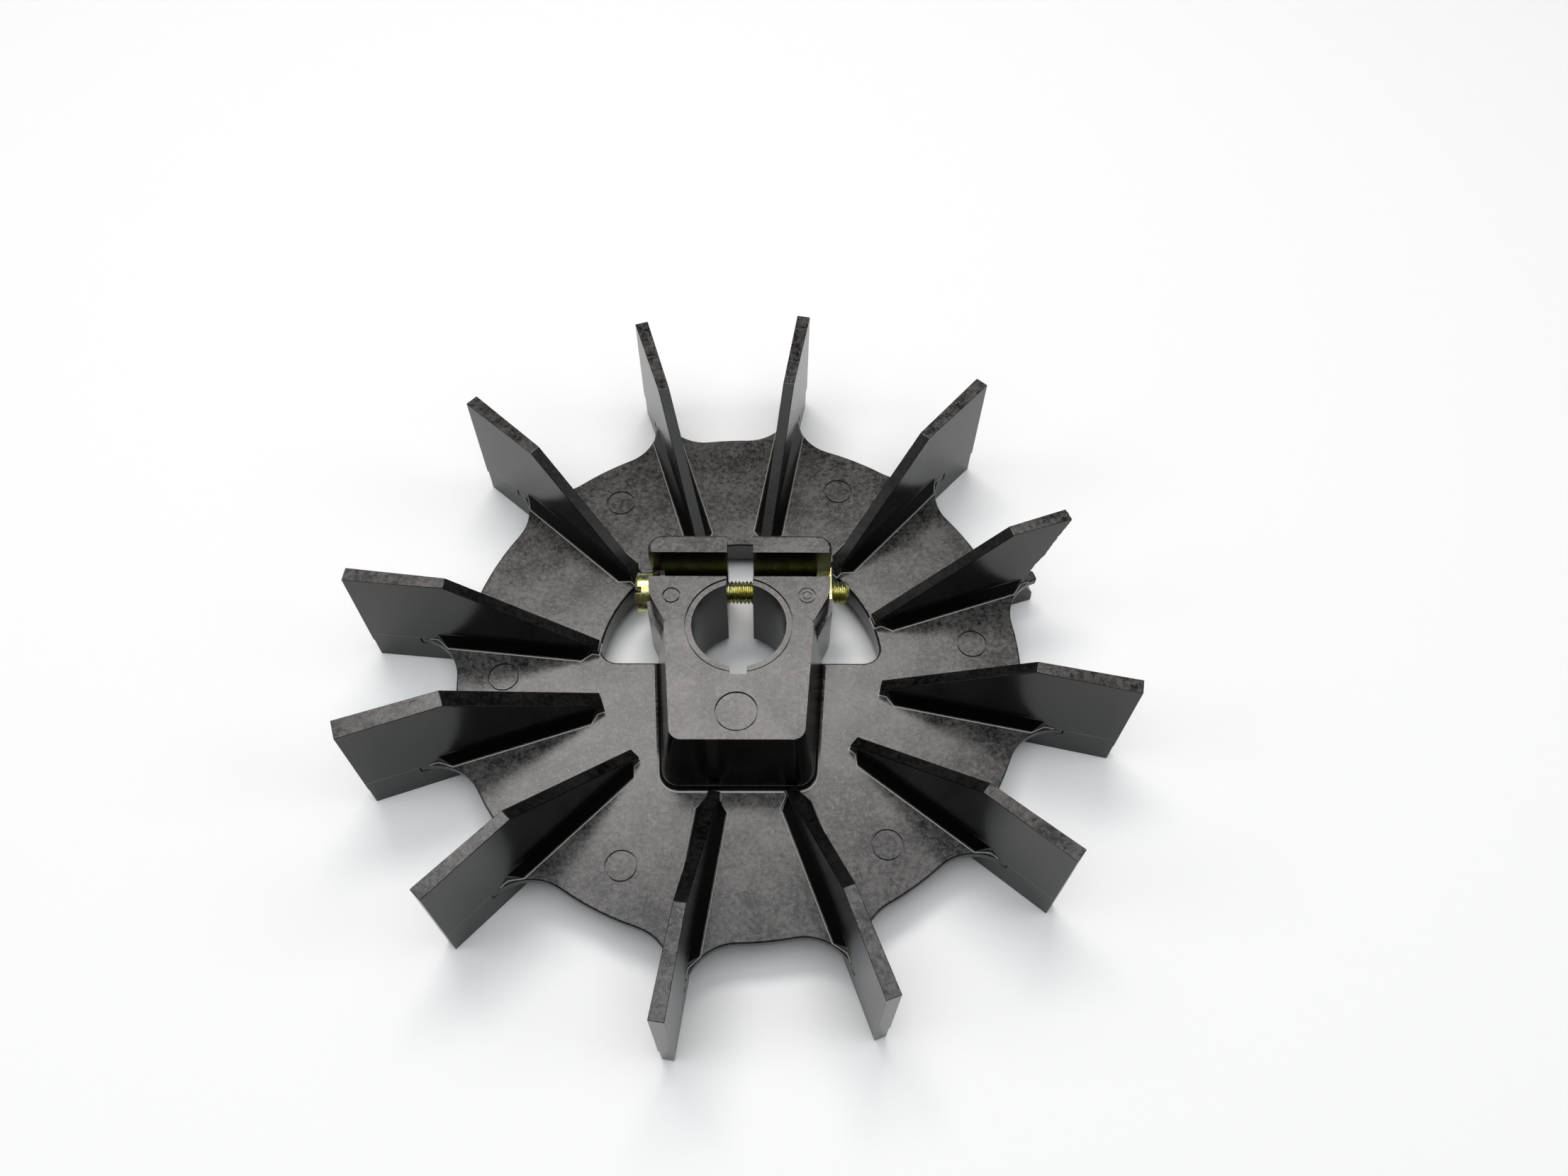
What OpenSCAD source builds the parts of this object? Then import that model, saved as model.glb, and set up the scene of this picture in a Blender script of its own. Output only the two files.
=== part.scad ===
// Radial cooling-fan wheel for a motor shaft: twelve flat blades on a scalloped
// back plate, with an off-centre split hub that a cross screw clamps to the shaft.
// Origin: shaft axis at the hub's lower face. +Z points along the shaft to the
// hub's top face, and the split between the two clamping jaws opens towards +Y.

/* [Wheel] */
// Outer diameter over the blades
fan_d = 157.6; // [148:0.1:190]
// Height of the blades, from their feet to their top edge
wheel_h = 30.8; // [26:0.1:40]
// How far the blade feet reach below the hub's lower face
feet_drop = 3.4; // [1:0.1:6]
// Diameter of the back plate's rim between the blades
rim_d = 118; // [108:0.5:124]
// Radius of the hollow curve in which the rim runs out along each blade
rim_fillet = 10; // [7:0.5:12]
// Height of the back plate's top face above the hub's lower face
plate_top = 5.8; // [4:0.1:8]
// Thickness of the back plate
plate_t = 2.1; // [1.6:0.1:3]
// Clearance round the jaws' corners in the half-moon window that frees them from the plate
window_gap = 1.85; // [1.5:0.05:5]
// Wall thickness of the collar that hangs round the window
collar_t = 2.2; // [1.5:0.1:3]

/* [Blades] */
// Direction of each blade, counter-clockwise from the +X side, in degrees
blade_at = [19, 48, 80, 107, 138, 174, 199, 226, 261, 290, 321, 348];
// Blade thickness from the nose to the shoulder
blade_t = 2.4; // [1.8:0.1:3]
// Blade thickness at the outer end
tip_t = 2.9; // [2.2:0.1:3.6]
// Extra thickness of the heavier blade that balances the off-centre hub
balance_t = 1.1; // [0:0.1:1.5]
// Number of that heavier blade
balance_blade = 7; // [1:1:12]
// Diameter at which the top edge starts to fall towards the hub
shoulder_d = 117.2; // [100:0.2:130]
// Distance from the window to the blades' inner noses
nose_gap = 0.2; // [0.1:0.1:3]
// Height of the nose above the plate, where the top edge ends
nose_h = 2; // [1:0.1:4]
// Width of the flared root of each blade on the plate
root_w = 6.2; // [4:0.1:7]
// Height of that flare
root_h = 2.4; // [1:0.1:4]
// One blade has its outer corner broken away
chipped = true; // [true, false]

/* [Clamp hub] */
// Shaft bore diameter
bore_d = 19; // [15:0.1:23]
// Height of the hub, from its lower face to its top face
hub_h = 22.4; // [18:0.1:28]
// Wall beside the bore at the top face
side_wall = 5.4; // [4:0.1:7]
// Solid length in front of the bore at the top face
front_wall = 15.6; // [8:0.1:16.5]
// How much each side face closes in towards the front
side_taper = 1.9; // [0:0.1:3]
// How much each side face spreads from the top face down to the plate
side_draft = 2.2; // [0:0.1:3]
// How much the front face spreads from the top face down to the plate
front_draft = 3.1; // [0:0.1:3.2]
// Width of the key notch
key_w = 3.4; // [2:0.1:5]
// Depth of the key notch
key_depth = 1.8; // [1:0.1:3]
// Width of the split between the jaws
split_w = 5.4; // [3:0.1:7]
// Width over the two jaws at the top face
ear_w = 36.8; // [36:0.1:45]
// How far the lower part of each jaw stands out past the upper part
ear_ledge = 0.8; // [0.4:0.1:1.2]
// How much each jaw widens towards its rear end
ear_spread = 0.6; // [0:0.1:1]
// Wall between the bore and the screw channel
web_t = 1.6; // [1.2:0.1:3]
// Thickness of the bar behind the screw channel
bar_t = 4.3; // [3:0.1:5]

/* [Clamp screw] */
// Outer diameter of the screw thread
screw_d = 4.9; // [3.9:0.1:5.2]
// Thread pitch
pitch = 0.8; // [0.7:0.05:1]
// How far the screw's free end stands out past the nut
screw_out = 3.7; // [1:0.1:8]
// Diameter of the screw head
head_d = 8.4; // [7:0.1:9.6]
// Height of the screw head, with its low dome
head_h = 4; // [3:0.1:5]
// Width of the screwdriver slot
slot_w = 1.3; // [0.8:0.1:1.6]
// Depth of the screwdriver slot
slot_depth = 1.7; // [1:0.1:2]
// Width across the flats of the square nut
nut_af = 8; // [7:0.1:8.6]
// Thickness of the square nut
nut_t = 3.2; // [2.2:0.1:4]
// Outer diameter of the spring washer
washer_d = 9; // [7.6:0.1:9.8]
// Thickness of the spring washer
washer_t = 1.2; // [0.8:0.1:1.6]
// How many turns the screw still has to be tightened before its washer seats
slack_turns = 1.5; // [0.25:0.25:2.5]
// Gap all round the screw in its channel
channel_gap = 0.45; // [0.2:0.05:0.8]
// Gap all round the thread in the nut and the washer
thread_gap = 0.05; // [0.02:0.01:0.1]
// Gap round the nut and the washer in their pockets
pocket_gap = 0.1; // [0.05:0.05:0.3]

/* [Hidden] */
$fn = 96;
over = 1;                                   // how far a cut runs past a face

bore_r = bore_d / 2;
fan_r = fan_d / 2;
rim_r = rim_d / 2;
feet_z = -feet_drop;
blade_top = wheel_h - feet_drop;
plate_low = plate_top - plate_t;
step_z = plate_low - 0.6;                   // below this the blades are thinner
fin_step = 0.25;                            // and by this much on each face
fin_in = rim_r + 1;                         // inner end of the fins under the plate
shoulder_r = shoulder_d / 2;
root_start = 1.5;                           // distance from the nose to the start of the flared root
root_grow = 2;                              // and from there to its full width
root_out = rim_r + 2.5;                     // radius where the flared root starts to close
root_close = 2.5;                           // and the length over which it does

hub_rear_half = bore_r + side_wall;
hub_front_half = hub_rear_half - side_taper;
hub_front = bore_r + front_wall;
front_round = 2.4;                          // rounding of the hub's front corners, top
foot_round = 3.5;                           // and at the plate
rear_round = 1;

channel_w = screw_d + 2 * channel_gap;
channel_y = bore_r + web_t;                 // front wall of the screw channel
screw_y = channel_y + channel_w / 2;
screw_z = hub_h / 2;
ear_back = channel_y + channel_w + bar_t;
ear_half = ear_w / 2;
ear_wide = ear_half + ear_ledge;            // half width of the jaws' lower part
ear_round = 3;                              // rear corners of the jaws
shoulder_y = 8;                             // where the jaws reach their full width
roof_z = screw_z + nut_af / 2 + pocket_gap; // top of both pockets, and of the ledge
seat_x = ear_wide - nut_t;                  // bottom of the pockets
washer_x = -seat_x - slack_turns * pitch;   // inner face of the washer at rest
head_x = washer_x - washer_t;               // underside of the head at rest
screw_len = ear_wide - head_x + screw_out;
dome_h = 0.7;                               // part of the head that is domed
end_chamfer = 0.6;                          // on the screw's free end
slot_lean = 24;                             // the screwdriver slot's direction
break_lean = 250;                           // direction of the washer's split
break_w = 0.8;                              // width of the washer's split

// The window clears the corners of the jaws
window_r = norm([ear_wide + ear_spread - ear_round, ear_back - ear_round]) + ear_round + window_gap;

// Corner that broke off, as distances in from the outer end and heights over the feet
chip = [[6.8, 31], [7.6, 29.5], [8.4, 27], [9.3, 24.5], [10.2, 21.5], [10.9, 19], [12.6, 16],
        [13.4, 13], [13.9, 10.5], [13.4, 7], [11.8, 5.2], [10.8, 3.4], [10.4, -1]];

function turn(p, a) = [p[0] * cos(a) - p[1] * sin(a), p[0] * sin(a) + p[1] * cos(a)];
function arc(centre, r, a0, a1, n) =
    [for (k = [0:n]) centre + r * [cos(a0 + (a1 - a0) * k / n), sin(a0 + (a1 - a0) * k / n)]];

function extra(i) = i == balance_blade - 1 ? balance_t : 0;
function half_t(i) = (blade_t + extra(i)) / 2;
function half_tip(i) = (tip_t + extra(i)) / 2;
// Radius at which the rim's hollow curve meets the side of blade i
function lobe_r(i) = sqrt(pow(rim_r + rim_fillet, 2) - pow(half_t(i) + rim_fillet, 2));
function lobe_a(i) = atan2(half_t(i) + rim_fillet, lobe_r(i));

// Radius of the nose of blade i: past the window, and clear of the hub's front face if it meets it
function front_reach(i) =
    let (s = -sin(blade_at[i]), c = abs(cos(blade_at[i])), front = hub_front + front_draft)
    s > 0.5 && front * c / s < hub_front_half + side_draft ? (front + half_t(i) * c) / s : 0;
function nose_r(i) = max(window_r + nose_gap, front_reach(i));

// Rim outline: out along each blade, round its hollow curves and along the rim to the next
function lobe_side(i, side) =
    let (h = half_t(i) + rim_fillet, a = lobe_a(i))
    [for (p = arc([lobe_r(i), h], rim_fillet, 270, 180 + a, 10)) [p[0], side * p[1]]];
function reversed(list) = [for (k = [len(list) - 1:-1:0]) list[k]];
function rim_outline() =
    [for (i = [0:len(blade_at) - 1])
        let (a = blade_at[i],
             next = (i + 1) % len(blade_at),
             b = blade_at[next] + (next == 0 ? 360 : 0))
        each concat(
            [for (p = reversed(lobe_side(i, -1))) turn(p, a)],
            [for (p = lobe_side(i, 1)) turn(p, a)],
            [for (p = arc([0, 0], rim_r, a + lobe_a(i), b - lobe_a(next), 6))
                if (norm(p - turn([rim_r, 0], a + lobe_a(i))) > 0.5
                    && norm(p - turn([rim_r, 0], b - lobe_a(next))) > 0.5) p])];

// Half-moon window with rounded corners, its straight edge on the X axis
function window_outline(r, low) =
    let (c = 3.5, x = sqrt(pow(r - c, 2) - pow(c + low, 2)), a = atan2(c + low, x))
    concat(arc([x, c + low], c, -90, a, 6),
           arc([0, 0], r, a, 180 - a, 40),
           arc([-x, c + low], c, 180 - a, 270, 6));

// Bottom corners of the hub block, as [x, y, radius], used by the hub and by the plate
foot_corners = [for (s = [-1, 1]) each
    [[s * (hub_front_half + side_draft - foot_round), -hub_front - front_draft + foot_round, foot_round],
     [s * (hub_rear_half + side_draft - rear_round), 0, rear_round]]];
top_corners = [for (s = [-1, 1]) each
    [[s * (hub_front_half - front_round), -hub_front + front_round, front_round],
     [s * (hub_rear_half - rear_round), 0, rear_round]]];

module corner_posts(corners, z0, z1) {
    for (c = corners)
        translate([c[0], c[1], z0]) cylinder(r = c[2], h = z1 - z0, $fn = 32);
}

// One side of a jaw's outline, from the bore's centre line round to the rear bar
function jaw_half(half, root) =
    concat([[0, 0], [root, 0.8], [half - 0.8, shoulder_y - 2.2], [half - 0.2, shoulder_y - 0.8],
            [half, shoulder_y + 0.6]],
           arc([half + ear_spread - ear_round, ear_back - ear_round], ear_round, 0, 90, 8),
           [[0, ear_back]]);

module jaw_tier(half, root, z0, z1) {
    for (s = [0, 1]) mirror([s, 0, 0]) translate([0, 0, z0])
        linear_extrude(z1 - z0) polygon(jaw_half(half, root));
}

module pocket(reach, low) {
    translate([seat_x, screw_y - reach, screw_z - low])
        cube([ear_wide, ear_back, low + roof_z - screw_z]);
}

module clamp_hub() {
    washer_reach = washer_d / 2 + pocket_gap;
    color("dimgray") difference() {
        union() {
            hull() {
                corner_posts(foot_corners, 0, plate_top);
                corner_posts(top_corners, hub_h - 0.01, hub_h);
            }
            jaw_tier(ear_wide, hub_rear_half + side_draft / 2, 0, roof_z);
            jaw_tier(ear_half, hub_rear_half, roof_z, hub_h);
        }
        translate([0, 0, -over]) cylinder(d = bore_d, h = hub_h + 2 * over);
        translate([-key_w / 2, -bore_r - key_depth, -over]) cube([key_w, bore_r, hub_h + 2 * over]);
        translate([-split_w / 2, 0, -over]) cube([split_w, ear_back + over, hub_h + 2 * over]);
        // Screw channel, open to the top face, with a round floor
        translate([-ear_w, channel_y, screw_z]) cube([2 * ear_w, channel_w, hub_h]);
        translate([-ear_w, screw_y, screw_z]) rotate([0, 90, 0]) cylinder(d = channel_w, h = 2 * ear_w);
        // Nut pocket on the right, washer and head pocket on the left
        pocket(nut_af / 2 + pocket_gap, nut_af / 2 + pocket_gap);
        mirror([1, 0, 0]) pocket(washer_reach, washer_reach);
    }
}

module back_plate() {
    color("dimgray") difference() {
        union() {
            translate([0, 0, plate_low]) linear_extrude(plate_t) polygon(rim_outline());
            linear_extrude(plate_top) polygon(window_outline(window_r + collar_t, -collar_t));
        }
        translate([0, 0, -over]) linear_extrude(plate_top + 2 * over)
            polygon(window_outline(window_r, 0));
        hull() corner_posts(foot_corners, -over, plate_top + over);
    }
}

// Blade i lies along +X here; its outline is drawn in the radius and height plane
module blade_shape(i) {
    module upright(depth) {
        translate([0, depth / 2, 0]) rotate([90, 0, 0]) linear_extrude(depth) children();
    }
    module seen_from_above(h, tip, z0, z1) {
        translate([0, 0, z0]) linear_extrude(z1 - z0)
            polygon([[0, -h], [shoulder_r, -h], [fan_r, -tip], [fan_r, tip], [shoulder_r, h], [0, h]]);
    }
    h = half_t(i);
    tip = half_tip(i);
    nose = nose_r(i);
    root_in = nose + root_start + root_grow;
    intersection() {
        upright(2 * root_w) polygon([[nose, plate_top], [lobe_r(i), plate_top], [lobe_r(i), plate_low],
                                     [fin_in, plate_low], [fin_in, step_z], [fan_r, step_z],
                                     [fan_r, blade_top], [shoulder_r, blade_top],
                                     [nose, plate_top + nose_h]]);
        seen_from_above(h, tip, step_z, blade_top);
    }
    intersection() {
        upright(2 * root_w) polygon([[fin_in, feet_z], [fan_r, feet_z], [fan_r, step_z], [fin_in, step_z]]);
        seen_from_above(h - fin_step, tip - fin_step, feet_z, step_z);
    }
    // Flared root on the plate, cut level with the sloping top edge near the nose
    w = root_w / 2 + extra(i) / 2;
    intersection() {
        translate([nose, 0, plate_top]) rotate([90, 0, 90]) linear_extrude(lobe_r(i) - nose)
            polygon([[-w, 0], [w, 0], [h, root_h], [-h, root_h]]);
        translate([0, 0, plate_top]) linear_extrude(root_h)
            polygon([[nose + root_start, -h], [root_in, -w], [root_out, -w], [root_out + root_close, -h],
                     [root_out + root_close, h], [root_out, w], [root_in, w], [nose + root_start, h]]);
    }
}

module blade(i) {
    color("dimgray") rotate(blade_at[i]) difference() {
        blade_shape(i);
        if (i == 0 && chipped)
            translate([0, root_w, feet_z]) rotate([90, 0, 0]) linear_extrude(2 * root_w)
                polygon(concat([for (p = chip) [fan_r - p[0], p[1] > 30 ? wheel_h + over : p[1]]],
                               [[fan_r + over, -over], [fan_r + over, wheel_h + over]]));
    }
}

module clamp_screw() {
    color("goldenrod") translate([head_x, screw_y, screw_z]) rotate([0, 90, 0]) difference() {
        rotate_extrude() polygon([[0, -head_h], [head_d * 0.3, -head_h + 0.15], [head_d / 2, -head_h + dome_h],
                                  [head_d / 2, 0], [screw_d / 2, 0], [screw_d / 2, screw_len - end_chamfer],
                                  [screw_d / 2 - end_chamfer, screw_len], [0, screw_len]]);
        rotate(slot_lean) translate([-head_d, -slot_w / 2, -head_h - over])
            cube([2 * head_d, slot_w, slot_depth + over]);
    }
}

module lock_washer() {
    color("darkslategray") translate([head_x, screw_y, screw_z]) rotate([0, 90, 0]) difference() {
        cylinder(d = washer_d, h = washer_t);
        translate([0, 0, -over]) cylinder(d = screw_d + 2 * thread_gap, h = washer_t + 2 * over);
        rotate(break_lean) translate([0, -break_w / 2, -over])
            cube([washer_d, break_w, washer_t + 2 * over]);
    }
}

module clamp_nut() {
    color("goldenrod") translate([seat_x, screw_y, screw_z]) difference() {
        translate([0, -nut_af / 2, -nut_af / 2]) cube([nut_t, nut_af, nut_af]);
        translate([-over, 0, 0]) rotate([0, 90, 0])
            cylinder(d = screw_d + 2 * thread_gap, h = nut_t + 2 * over);
    }
}

clamp_hub();
back_plate();
blade(0);  // blade_01
blade(1);  // blade_02
blade(2);  // blade_03
blade(3);  // blade_04
blade(4);  // blade_05
blade(5);  // blade_06
blade(6);  // blade_07
blade(7);  // blade_08
blade(8);  // blade_09
blade(9);  // blade_10
blade(10);  // blade_11
blade(11);  // blade_12
clamp_screw();
lock_washer();
clamp_nut();
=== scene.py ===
# %% [markdown]
# # A cooling-fan wheel, built on its CAD frame
# The wheel is one black plastic moulding: a split clamp hub, a thin scalloped plate and twelve
# blades. A zinc-plated screw, a spring washer and a square nut close the hub on the shaft.
# The packed CAD model fixes every size and place, so this script only adds looks to it.
# The box round the CAD model is kept first.

# %% Load the frame
import math

import bmesh
import bpy
from mathutils import Matrix, Vector, noise


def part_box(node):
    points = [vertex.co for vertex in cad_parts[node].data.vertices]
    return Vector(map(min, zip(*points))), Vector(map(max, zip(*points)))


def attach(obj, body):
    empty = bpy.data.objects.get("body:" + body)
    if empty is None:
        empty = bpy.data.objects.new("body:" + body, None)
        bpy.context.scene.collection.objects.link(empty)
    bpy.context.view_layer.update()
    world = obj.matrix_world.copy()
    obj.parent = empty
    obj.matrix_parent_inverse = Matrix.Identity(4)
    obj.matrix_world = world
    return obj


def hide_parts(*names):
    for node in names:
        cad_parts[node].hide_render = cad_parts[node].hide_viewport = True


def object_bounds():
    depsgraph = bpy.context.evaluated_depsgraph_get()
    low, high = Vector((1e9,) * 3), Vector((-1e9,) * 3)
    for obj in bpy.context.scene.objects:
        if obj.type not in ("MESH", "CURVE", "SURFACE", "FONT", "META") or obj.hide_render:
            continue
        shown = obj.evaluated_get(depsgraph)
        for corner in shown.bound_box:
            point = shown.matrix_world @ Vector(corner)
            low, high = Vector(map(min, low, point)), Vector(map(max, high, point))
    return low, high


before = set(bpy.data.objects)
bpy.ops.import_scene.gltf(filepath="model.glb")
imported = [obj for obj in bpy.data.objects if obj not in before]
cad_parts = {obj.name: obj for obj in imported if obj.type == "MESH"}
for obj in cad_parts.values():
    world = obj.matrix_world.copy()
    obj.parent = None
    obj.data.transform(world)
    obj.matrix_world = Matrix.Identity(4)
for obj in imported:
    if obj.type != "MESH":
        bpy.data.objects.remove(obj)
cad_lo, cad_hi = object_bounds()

MM = 0.001
print("CAD box in mm:", [round(v / MM, 1) for v in (*cad_lo, *cad_hi)])

# %% [markdown]
# ## The places that everything else starts from
# A maker reads these off the drawing once. Here the drawing is the frame: the boxes of the hub and
# the plate give their top faces, and the screw's box gives its axis. The bore's radius is the one
# size that no box shows.

# %% Read the driving places
UP = Vector((0, 0, 1))
hub_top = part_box("clamp_hub")[1].z
plate_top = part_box("back_plate")[1].z
screw_lo, screw_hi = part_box("clamp_screw")
washer_lo, washer_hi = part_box("lock_washer")
BORE_R = 9.5 * MM
screw_axis = Vector((0, (screw_lo.y + screw_hi.y) / 2, (screw_lo.z + screw_hi.z) / 2))
BLADES = [f"blade_{i:02d}" for i in range(1, 13)]
BLADE_AT = [19, 48, 80, 107, 138, 174, 199, 226, 261, 290, 321, 348]
print("hub top", round(hub_top / MM, 2), "plate top", round(plate_top / MM, 2),
      "screw axis", [round(v / MM, 2) for v in screw_axis])

# %% [markdown]
# ## Maths on sockets
# A finish is easier to read as sums than as a list of nodes and links. `Wire` wraps one socket and
# turns + - * into Math nodes.

# %% Wires
class Wire:
    """One output socket of a finish, usable in a Python expression."""

    def __init__(self, finish, socket):
        self.finish = finish
        self.socket = socket

    def maths(self, operation, a, b):
        return self.finish.node("ShaderNodeMath", {"operation": operation}, {0: a, 1: b})

    def __add__(self, other):
        return self.maths("ADD", self, other)

    def __sub__(self, other):
        return self.maths("SUBTRACT", self, other)

    def __mul__(self, other):
        return self.maths("MULTIPLY", self, other)


print("wires can be added, subtracted and multiplied")

# %% [markdown]
# ## One finish, one material
# `Finish` holds one material with its Principled shader, and its `node` method makes every other
# node. Noise, ranges, mixes and bumps are short methods on top of it, so that a finish further down
# reads as a recipe. Sizes are in millimetres on the piece itself, so the grain rides with it.

# %% Finishes
class Finish:
    """A material with a Principled shader, whose varying inputs are wires."""

    def __init__(self, name, **fixed):
        self.material = bpy.data.materials.new(name)
        self.material.use_nodes = True
        self.tree = self.material.node_tree
        self.shader = self.tree.nodes["Principled BSDF"]
        for socket, value in fixed.items():
            self.shader.inputs[socket.replace("_", " ")].default_value = value

    def node(self, kind, settings=None, inputs=None, output=0):
        made = self.tree.nodes.new(kind)
        for name, value in (settings or {}).items():
            if name == "stops":
                ramp = made.color_ramp
                while len(ramp.elements) < len(value):
                    ramp.elements.new(0.5)
                for element, (place, colour) in zip(ramp.elements, value):
                    element.position = place
                    element.color = (*colour, 1)
            else:
                setattr(made, name, value)
        for name, value in (inputs or {}).items():
            if isinstance(value, Wire):
                self.tree.links.new(value.socket, made.inputs[name])
            else:
                made.inputs[name].default_value = value
        return Wire(self, made.outputs[output])

    def feed(self, socket, wire):
        self.tree.links.new(wire.socket, self.shader.inputs[socket])

    def place(self, stretch=(1, 1, 1)):
        """The spot on the piece in millimetres, stretched along each axis."""
        spot = self.node("ShaderNodeTexCoord", output="Object")
        scale = [s / MM for s in stretch]
        return self.node("ShaderNodeVectorMath", {"operation": "MULTIPLY"}, {0: spot, 1: scale})

    def grain(self, size, detail=2.0, rough=0.5, stretch=(1, 1, 1), bend=0.0):
        """Cloudy noise with lumps of about that size in millimetres."""
        return self.node("ShaderNodeTexNoise", {}, {
            "Vector": self.place(stretch), "Scale": 1 / size, "Detail": detail,
            "Roughness": rough, "Distortion": bend})

    def between(self, value, low, high, to_low=0.0, to_high=1.0):
        """That value moved from one range to another, and kept inside it."""
        return self.node("ShaderNodeMapRange", {"clamp": True}, {
            "Value": value, "From Min": low, "From Max": high, "To Min": to_low, "To Max": to_high})

    def mix(self, share, a, b):
        """Colour a where share is 0, and colour b where it is 1."""
        ends = {6: a if isinstance(a, Wire) else (*a, 1), 7: b if isinstance(b, Wire) else (*b, 1)}
        return self.node("ShaderNodeMix", {"data_type": "RGBA"}, {0: share, **ends}, output=2)

    def bump(self, height, depth, strength=1.0):
        """Feeds Normal with small hills, depth in millimetres."""
        hills = self.node("ShaderNodeBump", {}, {
            "Height": height, "Distance": depth * MM, "Strength": strength})
        self.feed("Normal", hills)


print("a finish has", len([m for m in vars(Finish) if not m.startswith("_")]), "methods")

# %% [markdown]
# ## Black glass-filled nylon
# The moulding is nylon with short glass fibres. Faces that lie level are painted grey, a painted
# sheen that stands for the overhead light they mirror, and the fibres and dust show in it as cloudy
# patches with a fine pale speckle. Upright walls get no painted sheen and stay nearly black. Noise
# at three
# sizes makes it: wide clouds, a small mottle, and a speckle that shows only its peaks.

# %% Masks on the moulding
def level_faces(nylon):
    """1 on faces that look straight up, and 0 on walls."""
    # This mask places the painted sheen: level faces are painted grey, and walls stay black.
    facing = nylon.node("ShaderNodeTexCoord", output="Normal")
    upward = nylon.node("ShaderNodeSeparateXYZ", {}, {0: facing}, output=2)
    return nylon.between(upward, 0.80, 0.98)


def root_highlight_band(nylon):
    """1 on the thin lip of each root fillet, just over the plate and away from the hub's sides,
    where the painted highlight goes.
    """
    height = nylon.node("ShaderNodeSeparateXYZ", {}, {0: nylon.place()}, output=2)
    over_plate = height - plate_top / MM
    band = nylon.between(over_plate, 0.004, 0.015) * nylon.between(over_plate, 0.09, 0.06)
    flattened = nylon.node("ShaderNodeVectorMath", {"operation": "MULTIPLY"},
                           {0: nylon.place(), 1: (1, 1, 0)})
    radius = nylon.node("ShaderNodeVectorMath", {"operation": "LENGTH"}, {0: flattened},
                        output="Value")
    return band * nylon.between(radius, 25.8, 27.5)


print("the plate's top face, where the root band starts:", round(plate_top / MM, 2), "mm")

# %% [markdown]
# The colours are layered: black walls, level faces painted grey as a painted sheen, with clouds and
# mottle, the speckle, and last a painted highlight, the pale lip along each root.

# %% The moulding's finish
def nylon_finish():
    """Black nylon, with a painted grey sheen and a mottle where it lies level."""
    nylon = Finish("black_nylon", IOR=1.41)
    clouds = nylon.grain(7, detail=3)
    mottle = nylon.grain(1.0, detail=6, rough=0.72, bend=0.5)
    fleck = nylon.between(nylon.grain(0.30, detail=2), 0.63, 0.72)
    flat = level_faces(nylon)
    root = root_highlight_band(nylon)
    # Painted sheen: level faces are painted grey for the overhead light they mirror, mottled by dust
    # and fibres.
    dust = nylon.between(mottle + clouds * 0.5, 0.62, 0.88)
    dust_and_sheen = nylon.mix(dust, (0.003, 0.003, 0.0033), (0.088, 0.083, 0.079))
    body = nylon.mix(flat, (0.0014, 0.0014, 0.0015), dust_and_sheen)
    speckled = nylon.mix(flat * fleck * 0.28, body, (0.36, 0.345, 0.33))
    # Painted highlight: a pale lip along each blade's root, where the fillet catches the light.
    nylon.feed("Base Color", nylon.mix(root * 0.75, speckled, (0.42, 0.42, 0.37)))
    nylon.feed("Roughness", nylon.between(flat, 0, 1, 0.19, 0.17) + mottle * 0.10)
    nylon.bump(flat * mottle, 0.03, 0.6)
    return nylon.material


FINISHES = {"fan_moulding": nylon_finish()}
print("nylon nodes:", len(FINISHES["fan_moulding"].node_tree.nodes))

# %% [markdown]
# ## Yellow zinc and dark spring steel
# Yellow passivation is a thin film, so its colour drifts from straw to green and rose as its
# thickness changes. A colour ramp over soft noise gives that drift on a fully metallic shader.
# The washer is blued spring steel: nearly black, with a satin grain along the ring.

# %% The metal finishes
def zinc_finish():
    """Yellow-passivated zinc, with grime in patches."""
    zinc = Finish("yellow_zinc", Metallic=1.0)
    film = zinc.between(zinc.grain(2.4, detail=3, bend=0.6), 0.3, 0.7)
    tint = zinc.node("ShaderNodeValToRGB", {"stops": [
        (0.0, (0.44, 0.38, 0.13)), (0.35, (0.58, 0.55, 0.20)), (0.6, (0.68, 0.68, 0.34)),
        (0.8, (0.40, 0.48, 0.24)), (1.0, (0.56, 0.44, 0.27))]}, {"Fac": film})
    grime = zinc.between(zinc.grain(0.8, detail=4), 0.52, 0.75)
    zinc.feed("Base Color", zinc.mix(grime * 0.6, tint, (0.12, 0.10, 0.04)))
    zinc.feed("Roughness", zinc.between(zinc.grain(0.5, detail=4), 0.3, 0.7, 0.20, 0.38))
    zinc.bump(zinc.grain(0.25, detail=2), 0.006, 0.6)
    return zinc.material


def spring_finish():
    """Blued spring steel."""
    steel = Finish("blued_steel", Metallic=1.0)
    patches = steel.grain(1.6, detail=3)
    steel.feed("Base Color", steel.mix(patches, (0.06, 0.045, 0.03), (0.20, 0.15, 0.09)))
    steel.feed("Roughness", steel.between(steel.grain(0.5), 0.3, 0.7, 0.30, 0.46))
    steel.bump(steel.grain(0.3, stretch=(1, 1, 0.3)), 0.008, 0.6)
    return steel.material


FINISHES["zinc_yellow"] = zinc_finish()
FINISHES["dark_steel"] = spring_finish()
print("finishes:", ", ".join(m.name for m in FINISHES.values()))

# %% [markdown]
# ## From a CAD solid to a moulded shape
# No moulded edge is knife sharp. A copy of the CAD mesh is welded, its flat triangles are merged,
# and then only its real edges are rounded with a small bevel. Copying keeps every size exact,
# and rounding the copy keeps the CAD node itself untouched.

# %% Copy and round
SHARP = math.radians(32)
WELD = 0.002 * MM


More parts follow.
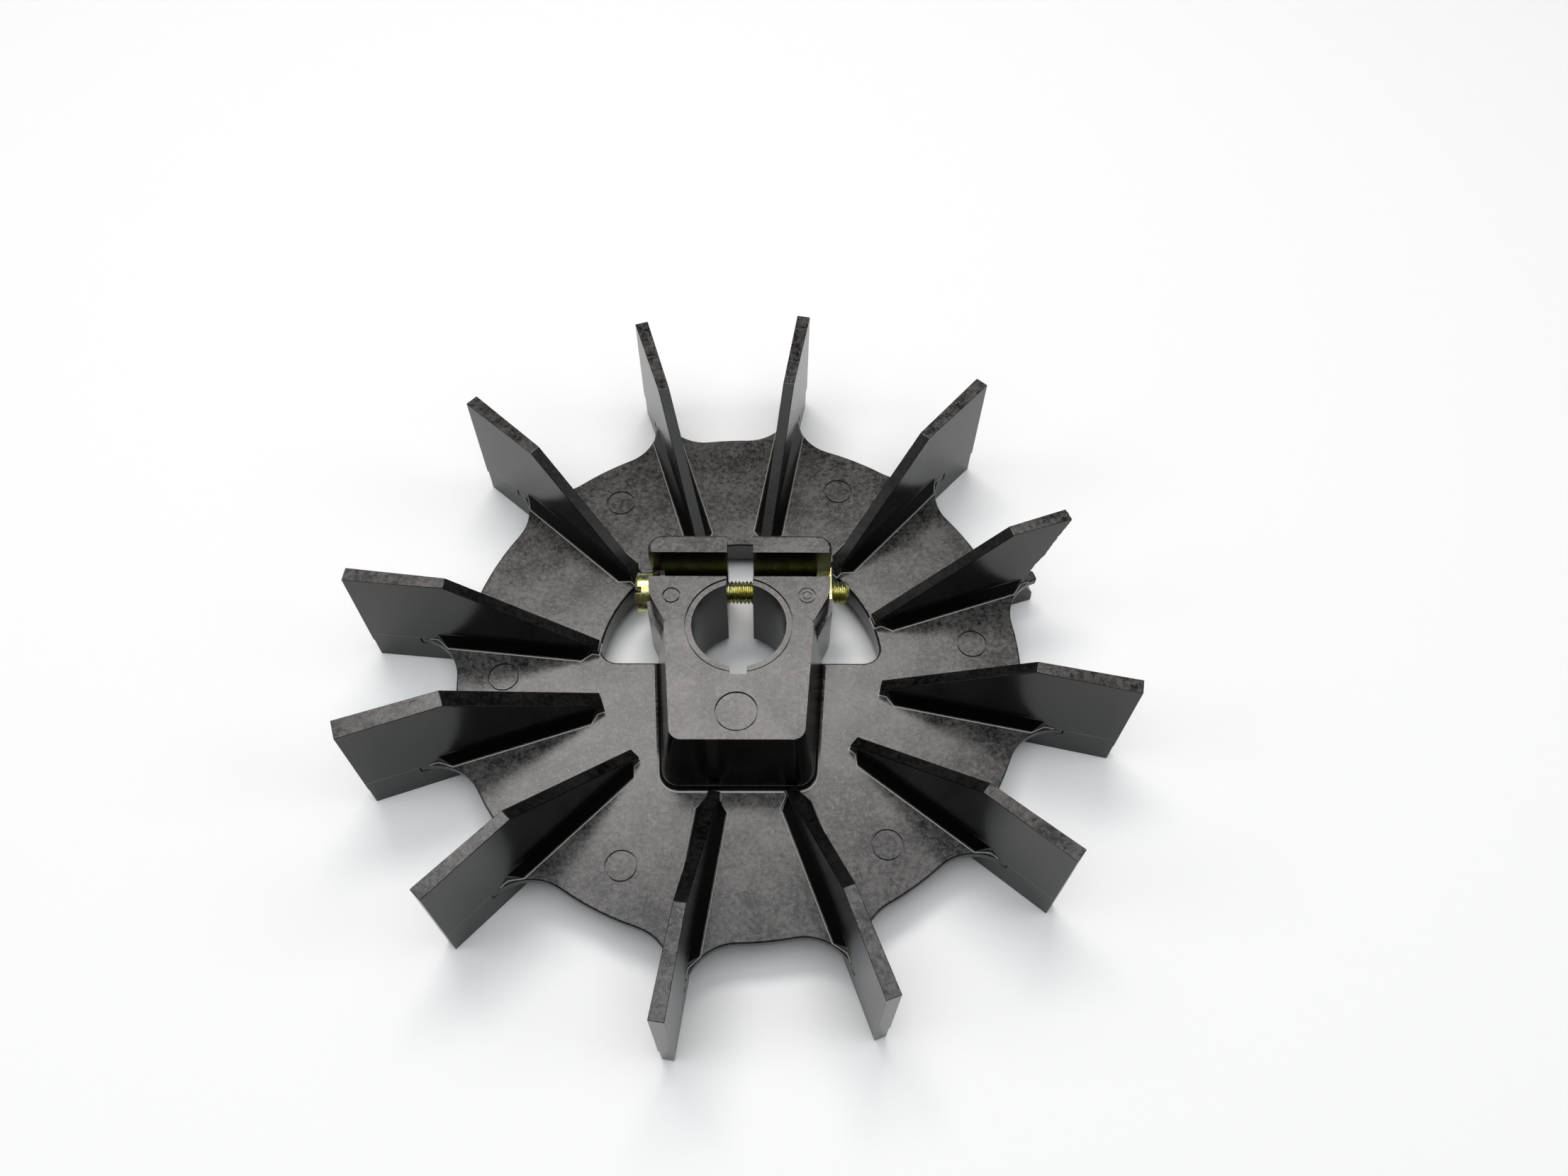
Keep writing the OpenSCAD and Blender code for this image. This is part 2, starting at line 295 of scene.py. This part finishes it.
def cad_shape(node):
    """A welded copy of a CAD node, with its flat faces whole again."""
    bm = bmesh.new()
    bm.from_mesh(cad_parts[node].data)
    bmesh.ops.remove_doubles(bm, verts=bm.verts, dist=WELD)
    bmesh.ops.dissolve_limit(bm, angle_limit=math.radians(0.5), verts=bm.verts, edges=bm.edges)
    return bm


def round_edges(bm, radius, chosen=lambda edge: True, segments=3):
    """Rounds the sharp edges that are chosen, and says how many there were."""
    sharp = [e for e in bm.edges
             if len(e.link_faces) == 2 and e.calc_face_angle(0) > SHARP and chosen(e)]
    bmesh.ops.bevel(bm, geom=sharp, offset=radius, segments=segments, profile=0.5,
                    affect="EDGES", clamp_overlap=True)
    return len(sharp)


def at_height(edge, *heights):
    """True if both ends of the edge lie at one of those heights."""
    return all(any(abs(v.co.z - h) < 0.01 * MM for h in heights) for v in edge.verts)


print("edges sharper than", round(math.degrees(SHARP)), "degrees are rounded")

# %% [markdown]
# ## Shading a piece and handing it to the frame
# Round walls are shaded smooth. Broad faces and level faces are kept flat, because a smooth normal
# that leaks in from a small bevel would show as a smudge on them. Each piece then rides its body,
# replaces its CAD node and takes its finish.

# %% Shade and show
BROAD = 25 * MM * MM
LEVEL = 0.9999


def smooth(piece):
    """Smooth shading that keeps broad faces, level faces and sharp edges crisp."""
    piece.data.shade_smooth()
    piece.data.set_sharp_from_angle(angle=SHARP)
    for face in piece.data.polygons:
        face.use_smooth = face.area < BROAD and abs(face.normal.z) < LEVEL
    weighted = piece.modifiers.new("flat faces", "WEIGHTED_NORMAL")
    weighted.keep_sharp = True


def placed(name, bm):
    """An object in the scene made of that shape, which is used up."""
    mesh = bpy.data.meshes.new(name)
    bm.to_mesh(mesh)
    bm.free()
    made = bpy.data.objects.new(name, mesh)
    bpy.context.collection.objects.link(made)
    return made


def show(node, bm, body, slot):
    """Makes the finished piece that stands for a CAD node."""
    piece = placed(node + "_piece", bm)
    piece.data.materials.append(FINISHES[slot])
    smooth(piece)
    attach(piece, body)
    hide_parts(node)
    return piece


print("faces over", round(BROAD / MM / MM), "square mm are shaded flat")

# %% [markdown]
# ## Rings of points
# The marks, the fillets, the screw and the washer are all the same kind of shape: rings of points,
# joined each to the next. An open strip is capped at both ends, and a closed one meets itself.

# %% Join rings
def joined(bm, rings, closed=False):
    """Walls between rings of points, with caps unless the last ring meets the first."""
    sides = len(rings[0])
    for a, b in zip(rings, rings[1:] + (rings[:1] if closed else [])):
        for k in range(sides):
            bm.faces.new((a[k], b[k], b[(k + 1) % sides], a[(k + 1) % sides]))
    if not closed:
        bm.faces.new(rings[0])
        bm.faces.new(reversed(rings[-1]))
    bmesh.ops.recalc_face_normals(bm, faces=bm.faces)
    return bm


def round_the_screw(bm, x, radius, angle):
    """A point at that place along the screw, radius and angle."""
    return bm.verts.new(screw_axis + Vector((x, radius * math.cos(angle), radius * math.sin(angle))))


print("rings turn about the screw's axis at height", round(screw_axis.z / MM, 2), "mm")

# %% [markdown]
# ## Cutters for marks
# Ejector pins leave round witness marks where they pushed the part out of its mould. They are only
# a few tenths of a millimetre deep, but they catch the light. A disc cuts a shallow floor, and a
# groove cuts the fine dark outline.

# %% Discs and grooves
CLEAR = 1.0 * MM


def disc(bm, centre, radius, depth, sides=48):
    """A round upright cutter whose floor lies that far below the centre."""
    middle = Matrix.Translation(Vector(centre) + UP * (CLEAR - depth) / 2)
    bmesh.ops.create_cone(bm, cap_ends=True, segments=sides, radius1=radius, radius2=radius,
                          depth=CLEAR + depth, matrix=middle)


def groove(bm, centre, radius, width, depth, sides=64):
    """A ring-shaped cutter of square section, for the fine outline round a mark."""
    inner = radius - width
    section = [(inner, CLEAR), (radius, CLEAR), (radius, -depth), (inner, -depth)]
    rings = []
    for k in range(sides):
        turn = math.tau * k / sides
        out = Vector((math.cos(turn), math.sin(turn), 0))
        rings.append([bm.verts.new(Vector(centre) + out * r + UP * h) for r, h in section])
    joined(bm, rings, closed=True)


print("cutters stand", round(CLEAR / MM, 1), "mm clear of the face they cut")

# %% [markdown]
# ## Fusing and cutting
# The exact boolean works on the finished piece, after its bevel, so that the rim of a mark stays
# crisp. The slivers that it leaves are welded away.

# %% Combine two shapes
def combine(piece, shape, operation):
    """Fuses the shape into the piece with UNION, or cuts it out with DIFFERENCE."""
    tool = placed("tool", shape)
    tool.data.materials.append(piece.data.materials[0])
    piece.modifiers.clear()
    boolean = piece.modifiers.new("boolean", "BOOLEAN")
    boolean.object = tool
    boolean.operation = operation
    boolean.solver = "EXACT"
    result = bpy.data.meshes.new_from_object(
        piece.evaluated_get(bpy.context.evaluated_depsgraph_get()))
    clean = bmesh.new()
    clean.from_mesh(result)
    bmesh.ops.remove_doubles(clean, verts=clean.verts, dist=WELD)
    bmesh.ops.dissolve_degenerate(clean, edges=clean.edges, dist=0.001 * MM)
    clean.to_mesh(result)
    clean.free()
    bpy.data.objects.remove(tool)
    old = piece.data
    piece.data = result
    bpy.data.meshes.remove(old)
    piece.modifiers.clear()
    smooth(piece)


print("points closer than", round(WELD / MM, 4), "mm are welded")

# %% [markdown]
# ## A bright line along each root
# Where a wall stands on the plate, the mould leaves a tiny hollow fillet. It leans away from the
# dark wall, so it shows as a thin bright line. It is a small section swept along the foot of the
# wall, with its corners mitred, and then fused to the wall.

# %% Sweep a root fillet
# Sections: distance out from the wall and height over the plate, in millimetres
FILLET = [(-0.5, -0.2), (0.30, -0.2), (0.30, 0.0), (0.17, 0.025), (0.06, 0.08), (-0.07, 0.16),
          (-0.5, 0.16)]
HUB_FILLET = [(-0.6, -0.2), (0.95, -0.2), (0.95, 0.0), (0.60, 0.06), (0.32, 0.21), (0.11, 0.49),
              (-0.03, 0.80), (-0.14, 1.10), (-0.6, 1.10)]


def root_fillet(path, section=FILLET):
    """Sweeps the section along a path on the plate, with the open side on the path's right."""
    bm = bmesh.new()
    rings = []
    for i, spot in enumerate(path):
        before = (spot - path[i - 1]).normalized() if i else None
        after = (path[i + 1] - spot).normalized() if i + 1 < len(path) else None
        along = ((before or after) + (after or before)).normalized()
        out = Vector((along.y, -along.x))
        mitre = 1 / max(0.5, along.dot(after or before))
        rings.append([bm.verts.new((*(spot + out * (d * MM * mitre)), plate_top + h * MM))
                      for d, h in section])
    return joined(bm, rings)


def arc(centre, radius, start, end, steps=8):
    """Points along an arc in the plate's plane, angles in degrees."""
    turns = [math.radians(start + (end - start) * k / steps) for k in range(steps + 1)]
    return [Vector(centre) + Vector((math.cos(t), math.sin(t))) * radius for t in turns]


print("fillet sections have", len(FILLET), "and", len(HUB_FILLET), "points")

# %% [markdown]
# ## The clamp hub
# The hub is the thickest part of the moulding, with jaws that the screw pulls together. The bars
# behind the screw have softer rear edges than the rest, and every other edge gets a crisp one.

# %% Build the hub
SOFT_EDGE = 0.6 * MM
CRISP_EDGE = 0.28 * MM


def bar_edge(edge):
    """The outer top edges of the bars behind the screw."""
    middle = (edge.verts[0].co + edge.verts[1].co) / 2
    return at_height(edge, hub_top) and middle.y > 17.0 * MM and abs(middle.x) > 2.9 * MM


hub_bm = cad_shape("clamp_hub")
soft = round_edges(hub_bm, SOFT_EDGE, bar_edge, segments=4)
crisp = round_edges(hub_bm, CRISP_EDGE, lambda e: not at_height(e, hub_top - 0.8 * MM))
hub = show("clamp_hub", hub_bm, "fan", "fan_moulding")
print("hub:", soft, "soft and", crisp, "crisp edges")

# %% [markdown]
# A shallow step runs round the mouth of the bore, a large ejector mark lies in front of it, and a
# smaller one sits on each jaw. The right one has a second ring inside.

# %% Mark the hub
LARGE_MARK = (-0.2 * MM, -19.2 * MM, hub_top)
LEFT_MARK = (-13.7 * MM, 6.6 * MM, hub_top)
RIGHT_MARK = (13.7 * MM, 6.6 * MM, hub_top)
marks = bmesh.new()
disc(marks, (0, 0, hub_top), BORE_R + 1.25 * MM, 0.15 * MM, sides=96)
disc(marks, LARGE_MARK, 4.1 * MM, 0.12 * MM)
combine(hub, marks, "DIFFERENCE")
outlines = bmesh.new()
groove(outlines, (0, 0, hub_top), BORE_R + 1.35 * MM, 0.26 * MM, 0.60 * MM, sides=96)
groove(outlines, LARGE_MARK, 4.18 * MM, 0.26 * MM, 0.60 * MM)
groove(outlines, LEFT_MARK, 1.8 * MM, 0.28 * MM, 0.5 * MM)
groove(outlines, RIGHT_MARK, 1.8 * MM, 0.22 * MM, 0.3 * MM)
groove(outlines, RIGHT_MARK, 0.95 * MM, 0.18 * MM, 0.3 * MM)
combine(hub, outlines, "DIFFERENCE")
print("marked hub:", len(hub.data.polygons), "faces")

# %% [markdown]
# The foot of the hub runs from the window round both front corners and back to the window. Its
# fillet is larger than the blades'.

# %% Fillet the hub's foot
FOOT_CORNER = Vector((11.7, -24.7)) * MM
FOOT_END = Vector((17.05, -0.4)) * MM
FOOT_ROUND = 3.5 * MM
MIRROR = Vector((-1, 1))
foot = [FOOT_END * MIRROR, *arc(FOOT_CORNER * MIRROR, FOOT_ROUND, 184.4, 270),
        *arc(FOOT_CORNER, FOOT_ROUND, 270, 355.6), FOOT_END]
combine(hub, root_fillet(foot, HUB_FILLET), "UNION")
print("filleted hub:", len(hub.data.polygons), "faces")

# %% [markdown]
# ## The back plate
# A thin plate with a scalloped rim carries the blades, and a half-moon window frees the jaws.
# Its rim is rounded, and six larger ejector marks lie on one circle.

# %% Build the plate
RIM_EDGE = 0.4 * MM
MARK_RING = 49.3 * MM
plate_bm = cad_shape("back_plate")
rounded = round_edges(plate_bm, RIM_EDGE)
plate = show("back_plate", plate_bm, "fan", "fan_moulding")
marks = bmesh.new()
for angle in map(math.radians, (124, 64, 5.5, -53.8, -116.8, -176)):
    spot = (MARK_RING * math.cos(angle), MARK_RING * math.sin(angle), plate_top)
    groove(marks, spot, 3.2 * MM, 0.28 * MM, 0.5 * MM)
combine(plate, marks, "DIFFERENCE")
print("plate:", rounded, "edges rounded,", len(plate.data.polygons), "faces")

# %% [markdown]
# ## The foot of a blade
# Each blade is a flat wall on a flared root. One blade is thicker than the rest, to balance the
# screw, so its foot is wider too. The outline is drawn with the blade lying along +X.

# %% Outline a blade's foot
HEAVY = "blade_07"
BALANCE = 0.55 * MM


def blade_foot(extra):
    """The outline of a blade's foot on the plate, round from one side to the other."""
    side = [(66.0, 1.2), (64.0, 1.2), (61.5, 3.1), (33.3, 3.1), (31.3, 1.2), (29.8, 1.2)]
    one = [Vector((r * MM, w * MM + extra)) for r, w in side]
    return one + [Vector((v.x, -v.y)) for v in reversed(one)]


print("a foot has", len(blade_foot(0)), "corners")

# %% [markdown]
# ## The broken corner
# One blade has lost its outer corner. Its broken face is divided finely and pushed in and out by
# noise, so that it looks torn, and its edges stay unrounded.

# %% Roughen a break
BROKEN = "blade_01"
TEAR_SHIFT = 0.12


def broken_face(face, turn):
    """True for the faces left by the broken corner."""
    return (turn @ face.normal).x > 0.3 and 60 * MM < (turn @ face.calc_center_median()).x < 74 * MM


def roughen(bm, turn):
    """Divides the broken faces and moves their points in and out."""
    torn = {e for f in bm.faces if broken_face(f, turn) for e in f.edges}
    bmesh.ops.subdivide_edges(bm, edges=list(torn), cuts=5, use_grid_fill=True)
    points = {v for f in bm.faces if broken_face(f, turn) for v in f.verts}
    back = turn.inverted()
    for v in points:
        spot = v.co / MM
        depth = 0.20 * noise.noise(spot * 0.9) + 0.14 * noise.noise(spot * 2.7)
        v.co += back @ Vector((depth - TEAR_SHIFT, 0, 0)) * MM


print("the break is on", BROKEN)

# %% [markdown]
# ## The blades
# Every blade is copied, rounded, fused to its root fillet, and marked on its top edge where an
# ejector pin pushed it. The edges where it meets the plate stay sharp.

# %% Build the blades
blade_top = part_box("blade_02")[1].z
plate_low = plate_top - 2.1 * MM
BLADE_EDGE = 0.22 * MM
PIN_AT = 63.5 * MM


def free_edges(name, turn):
    """A rule for the edges to round: neither on the plate nor round the break."""
    def free(edge):
        if at_height(edge, plate_top, plate_low):
            return False
        return name != BROKEN or not any(broken_face(f, turn) for f in edge.link_faces)
    return free


for name, angle in zip(BLADES, BLADE_AT):
    turn = Matrix.Rotation(math.radians(-angle), 3, "Z")
    blade_bm = cad_shape(name)
    rounded = round_edges(blade_bm, BLADE_EDGE, free_edges(name, turn))
    if name == BROKEN:
        roughen(blade_bm, turn)
    blade = show(name, blade_bm, "fan", "fan_moulding")
    foot = root_fillet(blade_foot(BALANCE if name == HEAVY else 0))
    bmesh.ops.transform(foot, matrix=turn.inverted().to_4x4(), verts=foot.verts)
    combine(blade, foot, "UNION")
    pin = bmesh.new()
    disc(pin, turn.inverted() @ Vector((PIN_AT, 0, blade_top)), 1.15 * MM, 0.12 * MM, sides=32)
    combine(blade, pin, "DIFFERENCE")
    print(name, rounded, "edges rounded,", len(blade.data.polygons), "faces")

# %% [markdown]
# ## The screw's thread and head
# The screw shows its thread in the split and behind the nut, so the thread is real: rings of
# points whose radius follows a 60 degree ridge that climbs one pitch a turn. The head is turned on
# the same lathe, with a low dome.

# %% Thread and head profiles
PITCH = 0.8 * MM
ROD_R = 2.45 * MM
CORE_R = ROD_R - 0.54 * PITCH
HEAD_R = (screw_hi.y - screw_lo.y) / 2
HEAD_H = 4.0 * MM
PLAIN = 0.5 * MM
RUN_OUT = 0.8 * MM
CHAMFER = 0.75 * MM
head_face = screw_lo.x + HEAD_H


def ridge(x, angle):
    """How far the thread stands up at that place, from 0 in the groove to 1 on the crest."""
    place = ((x - head_face) / PITCH - angle / math.tau) % 1
    return min(1, max(0, (0.44 - abs(place - 0.5)) / 0.36))


def rod_radius(x, angle):
    """The threaded rod, plain under the head and chamfered at its free end."""
    start = min(1, max(0, (x - head_face - PLAIN) / RUN_OUT))
    radius = CORE_R + (ROD_R - CORE_R) * ridge(x, angle) * start
    return min(radius, ROD_R - CHAMFER + (screw_hi.x - x))


def head_profile():
    """Places and radii along the head: a low dome, a rounded shoulder and a plain side."""
    dome = [(screw_lo.x + 0.30 * MM * t * t, HEAD_R * 0.80 * t) for t in (0.15, 0.4, 0.7, 1)]
    shoulder = [(screw_lo.x + (0.95 - 0.65 * math.cos(a)) * MM, HEAD_R * (0.80 + 0.20 * math.sin(a)))
                for a in (0.3, 0.6, 0.9, 1.2, math.pi / 2)]
    return dome + shoulder + [(head_face - 0.12 * MM, HEAD_R), (head_face, HEAD_R - 0.12 * MM)]


print("thread depth", round((ROD_R - CORE_R) / MM, 2), "mm at a pitch of", round(PITCH / MM, 2))

# %% [markdown]
# ## Turning the screw
# The lathe takes rings along the axis, each with a fixed radius or with the thread's rule. The
# screwdriver slot is cut last, with a box that is turned about the axis.

# %% Turn the screw
STEPS_A_PITCH = 12
SIDES = 40
SLOT_LEAN = math.radians(114)
SLOT_DEPTH = 1.7 * MM
SLOT_HALF = 0.65 * MM


def turned(profile):
    """A closed solid of rings round the screw's axis."""
    bm = bmesh.new()
    angles = [math.tau * k / SIDES for k in range(SIDES)]
    rings = []
    for x, radius in profile:
        radii = [radius(x, t) if callable(radius) else radius for t in angles]
        rings.append([round_the_screw(bm, x, r, t) for t, r in zip(angles, radii)])
    return joined(bm, rings)


def slot_cutter():
    """A box across the head, as deep as the slot."""
    low = Vector((screw_lo.x - CLEAR, -2 * HEAD_R, -SLOT_HALF))
    high = Vector((screw_lo.x + SLOT_DEPTH, 2 * HEAD_R, SLOT_HALF))
    turn = Matrix.Translation(screw_axis) @ Matrix.Rotation(SLOT_LEAN, 4, "X")
    shape = Matrix.Translation((high + low) / 2) @ Matrix.Diagonal((*(high - low), 1))
    bm = bmesh.new()
    bmesh.ops.create_cube(bm, size=1, matrix=turn @ shape)
    return bm


rod_length = screw_hi.x - head_face
rod_steps = int(rod_length / PITCH * STEPS_A_PITCH)
rod = [(head_face + rod_length * k / rod_steps, rod_radius) for k in range(rod_steps + 1)]
screw = show("clamp_screw", turned(head_profile() + rod), "screw", "zinc_yellow")
combine(screw, slot_cutter(), "DIFFERENCE")
print("screw:", len(screw.data.polygons), "faces, head", round(2 * HEAD_R / MM, 2), "mm wide")

# %% [markdown]
# ## The spring washer and the square nut
# The washer is one turn of square wire, cut through, with its ends sprung apart along the screw.
# It is a rounded section swept round the axis. The nut is a plain square, with its corners eased.

# %% Wind the washer and ease the nut
WIRE_STEPS = 56
GAP_AT = math.radians(160)
GAP = math.radians(10)
NUT_EDGE = 0.3 * MM


def wound_washer():
    """A split ring whose ends stand a little apart."""
    bm = bmesh.new()
    inner_r = 2.55 * MM
    outer_r = (washer_hi.z - washer_lo.z) / 2
    wide = washer_hi.x - washer_lo.x
    thick = 0.82 * wide
    ease = 0.12 * MM
    rings = []
    for k in range(WIRE_STEPS + 1):
        share = k / WIRE_STEPS
        angle = GAP_AT + GAP / 2 + (math.tau - GAP) * share
        low = washer_lo.x + (wide - thick) * share
        high = low + thick
        section = [(low, inner_r + ease), (low + ease, inner_r), (high - ease, inner_r),
                   (high, inner_r + ease), (high, outer_r - ease), (high - ease, outer_r),
                   (low + ease, outer_r), (low, outer_r - ease)]
        rings.append([round_the_screw(bm, x, r, angle) for x, r in section])
    return joined(bm, rings)


washer = show("lock_washer", wound_washer(), "washer", "dark_steel")
nut_bm = cad_shape("clamp_nut")
eased = round_edges(nut_bm, NUT_EDGE)
nut = show("clamp_nut", nut_bm, "fan", "zinc_yellow")
print("washer:", len(washer.data.polygons), "faces; nut:", eased, "edges eased")

# %% [markdown]
# ## The camera
# The camera stands in front of the wheel, a little under 30 centimetres from the point it aims at.
# It looks down steeply, and has a slight roll.

# %% Set the camera
AIM = Vector((9.38, 24.05, -3.4)) * MM
AWAY = 287.27 * MM


def look(az, el, roll, target, distance):
    """A camera pose from the direction it looks from."""
    az, el, roll = map(math.radians, (az, el, roll))
    back = Vector((math.sin(az) * math.cos(el), -math.cos(az) * math.cos(el), math.sin(el)))
    right = UP.cross(back).normalized()
    up = back.cross(right)
    tilted = right * math.cos(roll) + up * math.sin(roll)
    above = up * math.cos(roll) - right * math.sin(roll)
    pose = Matrix((tilted, above, back)).transposed().to_4x4()
    pose.translation = target + back * distance
    return pose


lens = bpy.data.cameras.new("camera")
lens.lens = 29.18
lens.sensor_width = 36
lens.clip_start = 0.01
camera = bpy.data.objects.new("camera", lens)
bpy.context.collection.objects.link(camera)
camera.matrix_world = look(az=-1.32, el=58.64, roll=1.31, target=AIM, distance=AWAY)
bpy.context.scene.camera = camera
print("camera at", [round(v / MM) for v in camera.matrix_world.translation], "mm")

# %% [markdown]
# ## The floor
# The wheel stands on its feet on a sheet of white paper, which is staging and not part of it.

# %% Lay the floor
PAPER_WHITE = (0.98, 0.98, 0.98, 1)
floor_bm = bmesh.new()
bmesh.ops.create_grid(floor_bm, x_segments=1, y_segments=1, size=3,
                      matrix=Matrix.Translation((0, 0, cad_lo.z)))
floor = placed("floor", floor_bm)
paper = Finish("white_paper", Roughness=0.9)
paper.shader.inputs["Base Color"].default_value = PAPER_WHITE
floor.data.materials.append(paper.material)
print("floor at", round(cad_lo.z / MM, 2), "mm")

# %% [markdown]
# ## The light
# Black plastic shows what it mirrors more than what falls on it. A wide cool ceiling greys the front
# of the plate. A small bright key behind the wheel is mirrored by the hub's top and the middle of
# the plate. Two weak side boxes lift the outer faces of the blades.

# %% Set the lights
world = bpy.data.worlds.new("studio")
world.use_nodes = True
world.node_tree.nodes["Background"].inputs["Color"].default_value = (1, 1, 1, 1)
world.node_tree.nodes["Background"].inputs["Strength"].default_value = 0.06
bpy.context.scene.world = world
bpy.context.scene.view_settings.view_transform = "Standard"


def softbox(name, place, size, glow, colour=(1, 1, 1)):
    """A softbox aimed at the wheel, whose face glows that many times as bright as paper."""
    light = bpy.data.lights.new(name, "AREA")
    light.shape = "RECTANGLE"
    light.size = size[0]
    light.size_y = size[1]
    light.energy = glow * math.pi * size[0] * size[1]
    light.color = colour
    lamp = bpy.data.objects.new(name, light)
    bpy.context.collection.objects.link(lamp)
    lamp.location = place
    lamp.rotation_mode = "QUATERNION"
    lamp.rotation_quaternion = (-Vector(place)).to_track_quat("-Z", "Y")


softbox("ceiling", place=(-0.02, -0.12, 1.2), size=(1.25, 1.1), glow=2.3, colour=(0.95, 0.978, 1))
softbox("key", place=(-0.07, 0.41, 0.87), size=(0.52, 0.20), glow=10.5, colour=(1, 0.958, 0.93))
for side in (-1, 1):
    softbox("side", place=(side * 1.0, -0.1, 0.75), size=(0.55, 0.55), glow=2.0)
print("lights:", len(bpy.data.lights))

# %% [markdown] ## Closing
